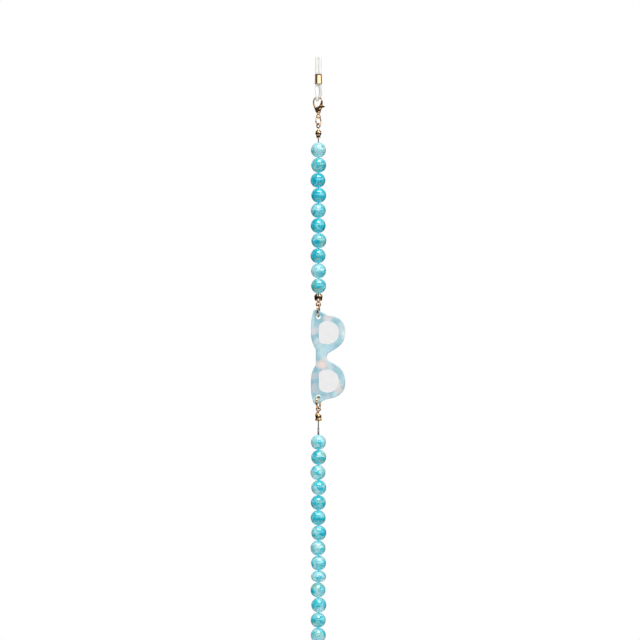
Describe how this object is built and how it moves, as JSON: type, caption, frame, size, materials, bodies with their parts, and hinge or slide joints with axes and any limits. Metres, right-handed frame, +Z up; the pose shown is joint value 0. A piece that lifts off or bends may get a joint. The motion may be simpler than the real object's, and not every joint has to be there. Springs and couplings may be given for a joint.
{
  "type": "eyeglass retainer strap",
  "caption": "Beaded eyeglass strap: round stone beads on wire, charms shaped like spectacles, lobster clasps and silicone end loops with sliding tubes.",
  "frame": {"origin": "middle of the upper silicone loop's bend, on the strap's straight axis, where a temple passes through it", "axes": "+Z up along the hanging strap, +X to the side on which the charms' lenses stand out, +Y away from the viewer"},
  "size_m": [0.0185, 0.0084, 0.6809],
  "materials": {
    "silicone": "translucent milky silicone",
    "rose_gold_tube": "polished rose gold plate",
    "gold_plated_brass": "polished gold plate",
    "spring_steel": "rolled strip",
    "stone_beads": "polished dyed stone",
    "stringing_wire": "nylon coated steel strand",
    "marbled_acetate": "polished marbled acetate",
    "clear_lens": "clear polished sheet"
  },
  "bodies": {
    "upper_loop": {"upper_silicone_loop": "silicone"},
    "upper_slider": {"upper_slider_tube": "rose_gold_tube"},
    "upper_clasp": {"upper_clasp_body": "gold_plated_brass", "upper_clasp_pin": "gold_plated_brass", "upper_clasp_spring": "spring_steel"},
    "upper_gate": {"upper_clasp_lever": "gold_plated_brass"},
    "upper_clasp_link": {"upper_clasp_ring": "gold_plated_brass"},
    "upper_strand_a": {"upper_clasp_tip": "gold_plated_brass", "upper_clasp_tip_crimp": "gold_plated_brass", "upper_strand_wire_a": "stringing_wire", "upper_strand_beads_a": "stone_beads"},
    "upper_strand_b": {"upper_strand_wire_b": "stringing_wire", "upper_strand_beads_b": "stone_beads", "upper_charm_tip": "gold_plated_brass", "upper_charm_tip_crimp": "gold_plated_brass"},
    "upper_outer_link": {"upper_outer_charm_ring": "gold_plated_brass"},
    "upper_charm": {"upper_charm_front": "marbled_acetate", "upper_charm_lens_outer": "clear_lens", "upper_charm_lens_inner": "clear_lens"},
    "upper_inner_link": {"upper_inner_charm_ring": "gold_plated_brass"},
    "lower_loop": {"lower_silicone_loop": "silicone"},
    "lower_slider": {"lower_slider_tube": "rose_gold_tube"},
    "lower_clasp": {"lower_clasp_body": "gold_plated_brass", "lower_clasp_pin": "gold_plated_brass", "lower_clasp_spring": "spring_steel"},
    "lower_gate": {"lower_clasp_lever": "gold_plated_brass"},
    "lower_clasp_link": {"lower_clasp_ring": "gold_plated_brass"},
    "lower_strand_a": {"lower_clasp_tip": "gold_plated_brass", "lower_clasp_tip_crimp": "gold_plated_brass", "lower_strand_wire_a": "stringing_wire", "lower_strand_beads_a": "stone_beads"},
    "lower_strand_b": {"lower_strand_wire_b": "stringing_wire", "lower_strand_beads_b": "stone_beads", "lower_charm_tip": "gold_plated_brass", "lower_charm_tip_crimp": "gold_plated_brass"},
    "lower_outer_link": {"lower_outer_charm_ring": "gold_plated_brass"},
    "lower_charm": {"lower_charm_front": "marbled_acetate", "lower_charm_lens_outer": "clear_lens", "lower_charm_lens_inner": "clear_lens"},
    "lower_inner_link": {"lower_inner_charm_ring": "gold_plated_brass"},
    "neck_1": {"neck_wire_1": "stringing_wire", "neck_beads_1": "stone_beads", "upper_neck_tip": "gold_plated_brass", "upper_neck_tip_crimp": "gold_plated_brass", "neck_tail_tube": "gold_plated_brass"},
    "neck_2": {"neck_wire_2": "stringing_wire", "neck_beads_2": "stone_beads", "flat_bead": "stone_beads"},
    "neck_3": {"neck_wire_3": "stringing_wire", "neck_beads_3": "stone_beads"},
    "neck_4": {"neck_wire_4": "stringing_wire", "neck_beads_4": "stone_beads"},
    "neck_5": {"neck_wire_5": "stringing_wire", "neck_beads_5": "stone_beads"},
    "neck_6": {"neck_wire_6": "stringing_wire", "neck_beads_6": "stone_beads", "lower_neck_tip": "gold_plated_brass", "lower_neck_tip_crimp": "gold_plated_brass"}
  },
  "joints": [
    {"name": "upper_slider_travel", "type": "slide", "parent": "upper_loop", "child": "upper_slider", "axis": [0, 0, 1], "range_m": [0, 0.007]},
    {"name": "upper_clasp_swing", "type": "hinge", "parent": "upper_loop", "child": "upper_clasp", "pos_m": [-0.0007, 0, -0.01798], "axis": [0, 1, 0], "range_deg": [-25, 25]},
    {"name": "upper_gate_press", "type": "hinge", "parent": "upper_clasp", "child": "upper_gate", "pos_m": [0.00075, 0, -0.0229], "axis": [0, -1, 0], "range_deg": [0, 11], "stiffness_Nm_per_rad": 0.002, "springref_deg": -5.73},
    {"name": "upper_clasp_ring_swing", "type": "hinge", "parent": "upper_clasp", "child": "upper_clasp_link", "pos_m": [0, 0, -0.0279], "axis": [1, 0, 0], "range_deg": [-19, 19]},
    {"name": "upper_strand_swing", "type": "hinge", "parent": "upper_clasp_link", "child": "upper_strand_a", "pos_m": [0, 0, -0.03056], "axis": [0.766, -0.6428, 0], "range_deg": [-22, 22]},
    {"name": "upper_strand_bend", "type": "hinge", "parent": "upper_strand_a", "child": "upper_strand_b", "pos_m": [-0.00004, 0.00012, -0.0765], "axis": [-1, 0, 0], "range_deg": [-25, 25]},
    {"name": "upper_outer_ring_swing", "type": "hinge", "parent": "upper_strand_b", "child": "upper_outer_link", "pos_m": [0, 0, -0.1274], "axis": [1, 0, 0], "range_deg": [-22, 22]},
    {"name": "upper_charm_swing", "type": "hinge", "parent": "upper_outer_link", "child": "upper_charm", "pos_m": [0, 0, -0.13278], "axis": [0, 1, 0], "range_deg": [-22, 22]},
    {"name": "upper_inner_ring_swing", "type": "hinge", "parent": "upper_charm", "child": "upper_inner_link", "pos_m": [0, 0, -0.17529], "axis": [-0.309, -0.9511, 0], "range_deg": [-22, 22]},
    {"name": "neck_strand_swing", "type": "hinge", "parent": "upper_inner_link", "child": "neck_1", "pos_m": [0, 0, -0.18067], "axis": [-0.9511, 0.309, 0], "range_deg": [-22, 22]},
    {"name": "neck_bend_1", "type": "hinge", "parent": "neck_1", "child": "neck_2", "pos_m": [-0.00013, 0.00019, -0.2393], "axis": [0, 1, 0], "range_deg": [-25, 25]},
    {"name": "neck_bend_2", "type": "hinge", "parent": "neck_2", "child": "neck_3", "pos_m": [0.00023, -0.00004, -0.2856], "axis": [1, 0, 0], "range_deg": [-25, 25]},
    {"name": "neck_bend_3", "type": "hinge", "parent": "neck_3", "child": "neck_4", "pos_m": [0.00001, -0.00014, -0.3336], "axis": [0, -1, 0], "range_deg": [-25, 25]},
    {"name": "neck_bend_4", "type": "hinge", "parent": "neck_4", "child": "neck_5", "pos_m": [-0.00023, 0.00024, -0.3816], "axis": [-1, 0, 0], "range_deg": [-25, 25]},
    {"name": "neck_bend_5", "type": "hinge", "parent": "neck_5", "child": "neck_6", "pos_m": [0.00011, -0.0002, -0.4296], "axis": [0, 1, 0], "range_deg": [-25, 25]},
    {"name": "lower_inner_ring_swing", "type": "hinge", "parent": "neck_6", "child": "lower_inner_link", "pos_m": [0, 0, -0.48903], "axis": [0.9511, 0.309, 0], "range_deg": [-22, 22]},
    {"name": "lower_charm_swing", "type": "hinge", "parent": "lower_inner_link", "child": "lower_charm", "pos_m": [0, 0, -0.49441], "axis": [0.309, -0.9511, 0], "range_deg": [-22, 22]},
    {"name": "lower_outer_ring_swing", "type": "hinge", "parent": "lower_charm", "child": "lower_outer_link", "pos_m": [0, 0, -0.53692], "axis": [0, 1, 0], "range_deg": [-22, 22]},
    {"name": "lower_strand_swing", "type": "hinge", "parent": "lower_outer_link", "child": "lower_strand_b", "pos_m": [0, 0, -0.5423], "axis": [-1, 0, 0], "range_deg": [-22, 22]},
    {"name": "lower_strand_bend", "type": "hinge", "parent": "lower_strand_b", "child": "lower_strand_a", "pos_m": [-0.00004, -0.00012, -0.5955], "axis": [0, -1, 0], "range_deg": [-25, 25]},
    {"name": "lower_clasp_ring_swing", "type": "hinge", "parent": "lower_strand_a", "child": "lower_clasp_link", "pos_m": [0, 0, -0.63914], "axis": [0.766, 0.6428, 0], "range_deg": [-22, 22]},
    {"name": "lower_clasp_swing", "type": "hinge", "parent": "lower_clasp_link", "child": "lower_clasp", "pos_m": [0, 0, -0.6418], "axis": [-1, 0, 0], "range_deg": [-19, 19]},
    {"name": "lower_gate_press", "type": "hinge", "parent": "lower_clasp", "child": "lower_gate", "pos_m": [0.00075, 0, -0.6468], "axis": [0, 1, 0], "range_deg": [0, 11], "stiffness_Nm_per_rad": 0.002, "springref_deg": -5.73},
    {"name": "lower_loop_swing", "type": "hinge", "parent": "lower_clasp", "child": "lower_loop", "pos_m": [-0.0007, 0, -0.65172], "axis": [0, -1, 0], "range_deg": [-25, 25]},
    {"name": "lower_slider_travel", "type": "slide", "parent": "lower_loop", "child": "lower_slider", "axis": [0, 0, -1], "range_m": [0, 0.007]}
  ]
}
